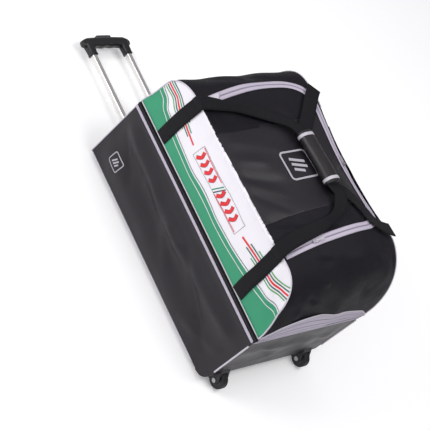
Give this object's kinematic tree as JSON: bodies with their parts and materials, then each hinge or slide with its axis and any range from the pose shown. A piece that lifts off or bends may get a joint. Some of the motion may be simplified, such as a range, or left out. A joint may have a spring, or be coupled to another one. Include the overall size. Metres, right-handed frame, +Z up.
{
  "type": "wheeled holdall",
  "caption": "Large soft holdall on wheels with a pull-out trolley handle, a zip-off upper compartment, a zipped lid and two carry handles held in a padded wrap.",
  "frame": {"origin": "on the floor under the middle of the bag, at the underside of the centre skid rail, with the bag lying flat on its rails and wheels", "axes": "+X from the trolley handle end to the wheel end, +Y from the printed side to the plain side, +Z up"},
  "size_m": [1.1805, 0.4708, 0.5435],
  "materials": {
    "coated_fabric": "polyurethane coated, soft sheen",
    "nylon_fabric": "woven nylon, matt",
    "printed_fabric": "white woven polyester with printed green stripes",
    "webbing": "ribbed woven webbing",
    "zip_tape": "lilac grey woven tape",
    "zip_metal": "cast zinc, plated",
    "badge_print": "silver moulded outline",
    "grip_leather": "padded leatherette",
    "reflective_band": "light grey reflective tape",
    "tube_aluminium": "polished, clear anodised",
    "moulded_black": "moulded, fine grain",
    "button_plastic": "moulded, smooth",
    "board_plastic": "extruded sheet",
    "steel": "zinc plated",
    "tyre_rubber": "moulded polyurethane",
    "hub_plastic": "moulded"
  },
  "bodies": {
    "lower_body": {"lower_near_panel": "coated_fabric", "lower_far_panel": "coated_fabric", "lower_handle_end_panel": "coated_fabric", "lower_wheel_end_panel": "coated_fabric", "kick_plate": "moulded_black", "base_panel": "coated_fabric", "base_board": "board_plastic", "lower_zip_tape": "zip_tape", "side_badge": "badge_print", "skid_rails": "moulded_black", "rail_rivets": "steel", "outer_tube_near": "tube_aluminium", "outer_tube_far": "tube_aluminium", "handle_bezel": "moulded_black", "middle_bracket": "moulded_black", "wheel_end_bracket": "moulded_black", "frame_screws": "steel", "tube_bushes": "moulded_black", "wheel_housing_near": "moulded_black", "wheel_housing_far": "moulded_black", "wheel_axles": "steel"},
    "upper_body": {"upper_handle_end_panel": "nylon_fabric", "upper_wheel_end_panel": "nylon_fabric", "near_side_panel": "printed_fabric", "far_side_panel": "nylon_fabric", "top_border": "nylon_fabric", "divider_panel": "nylon_fabric", "upper_zip_tape": "zip_tape", "lid_zip_outer_tape": "zip_tape", "near_webbing_legs": "webbing", "far_webbing_legs": "webbing"},
    "lid": {"lid_handle_end_panel": "nylon_fabric", "lid_centre_panel": "coated_fabric", "lid_wheel_end_panel": "nylon_fabric", "lid_zip_inner_tape": "zip_tape", "lid_badge": "badge_print"},
    "near_handle": {"near_handle_webbing": "webbing", "grip_wrap": "grip_leather", "grip_bands": "reflective_band"},
    "far_folds": {"far_handle_folds": "webbing"},
    "far_handle": {"far_handle_webbing": "webbing"},
    "trolley": {"inner_tube_near": "tube_aluminium", "inner_tube_far": "tube_aluminium", "tube_guides": "moulded_black", "trolley_grip": "moulded_black"},
    "button": {"push_button": "button_plastic", "push_rods": "steel"},
    "lock_pin_near": {"lock_pin_near": "steel"},
    "lock_pin_far": {"lock_pin_far": "steel"},
    "wheel_near": {"tyre_near": "tyre_rubber", "hub_near": "hub_plastic"},
    "wheel_far": {"tyre_far": "tyre_rubber", "hub_far": "hub_plastic"},
    "lid_slider": {"lid_slider": "zip_metal"},
    "lid_pull": {"lid_slider_pull": "zip_metal"},
    "far_slider": {"far_slider": "zip_metal"},
    "far_pull": {"far_slider_pull": "zip_metal"},
    "perimeter_slider": {"perimeter_slider": "zip_metal"},
    "perimeter_pull": {"perimeter_slider_pull": "zip_metal"}
  },
  "joints": [
    {"name": "trolley_slide", "type": "slide", "parent": "lower_body", "child": "trolley", "axis": [1, 0, 0], "range_m": [0, 0.3]},
    {"name": "button_press", "type": "slide", "parent": "trolley", "child": "button", "axis": [1, 0, 0], "range_m": [0, 0.005], "stiffness_N_per_m": 900, "springref_m": -0.003},
    {"name": "lock_pin_near_slide", "type": "slide", "parent": "trolley", "child": "lock_pin_near", "axis": [0, -1, 0], "range_m": [0, 0.004]},
    {"name": "lock_pin_far_slide", "type": "slide", "parent": "trolley", "child": "lock_pin_far", "axis": [0, 1, 0], "range_m": [0, 0.004]},
    {"name": "wheel_near_spin", "type": "hinge", "parent": "lower_body", "child": "wheel_near", "pos_m": [0.389, -0.176, 0.0285], "axis": [0, 1, 0], "continuous": true},
    {"name": "wheel_far_spin", "type": "hinge", "parent": "lower_body", "child": "wheel_far", "pos_m": [0.389, 0.176, 0.0285], "axis": [0, 1, 0], "continuous": true},
    {"name": "main_zip_hinge", "type": "hinge", "parent": "lower_body", "child": "upper_body", "pos_m": [-0.38, 0, 0.26925], "axis": [0, -1, 0], "range_deg": [0, 90]},
    {"name": "lid_hinge", "type": "hinge", "parent": "upper_body", "child": "lid", "pos_m": [0, -0.21166, 0.45138], "axis": [1, 0, 0], "range_deg": [0, 115], "deforming": ["far_handle_webbing"]},
    {"name": "near_handle_swing", "type": "hinge", "parent": "lid", "child": "near_handle", "pos_m": [0, -0.21166, 0.45138], "axis": [1, 0, 0], "range_deg": [0, 100]},
    {"name": "far_fold_turn", "type": "hinge", "parent": "upper_body", "child": "far_folds", "pos_m": [0, 0.20992, 0.48839], "axis": [-1, 0, 0], "range_deg": [0, 105]},
    {"name": "far_handle_swing", "type": "hinge", "parent": "far_folds", "child": "far_handle", "pos_m": [0, 0.188, 0.49801], "axis": [-1, 0, 0], "range_deg": [0, 105]},
    {"name": "lid_slider_run", "type": "hinge", "parent": "upper_body", "child": "lid_slider", "pos_m": [0.226, 0.03074, 0.10988], "axis": [-1, 0, 0], "range_deg": [-7.3, 33.4]},
    {"name": "lid_pull_swing", "type": "hinge", "parent": "lid_slider", "child": "lid_pull", "pos_m": [0.226, -0.1199, 0.4943], "axis": [1, 0, 0], "range_deg": [0, 100]},
    {"name": "far_slider_run", "type": "slide", "parent": "upper_body", "child": "far_slider", "axis": [1, 0, 0], "range_m": [-0.1, 0.1]},
    {"name": "far_pull_swing", "type": "hinge", "parent": "far_slider", "child": "far_pull", "pos_m": [0, 0.17786, 0.49566], "axis": [0, 0.9342, -0.3567], "range_deg": [0, 150]},
    {"name": "perimeter_slider_run", "type": "slide", "parent": "lower_body", "child": "perimeter_slider", "axis": [-1, 0, 0], "range_m": [0, 0.64]},
    {"name": "perimeter_pull_swing", "type": "hinge", "parent": "perimeter_slider", "child": "perimeter_pull", "pos_m": [0.32, 0.2371, 0.263], "axis": [0, 0, -1], "range_deg": [0, 150]}
  ],
  "couplings": [
    {"joint": "lock_pin_near_slide", "follows": "button_press", "ratio": 0.8},
    {"joint": "lock_pin_far_slide", "follows": "button_press", "ratio": 0.8},
    {"joint": "far_fold_turn", "follows": "lid_hinge", "ratio": 0.9}
  ]
}
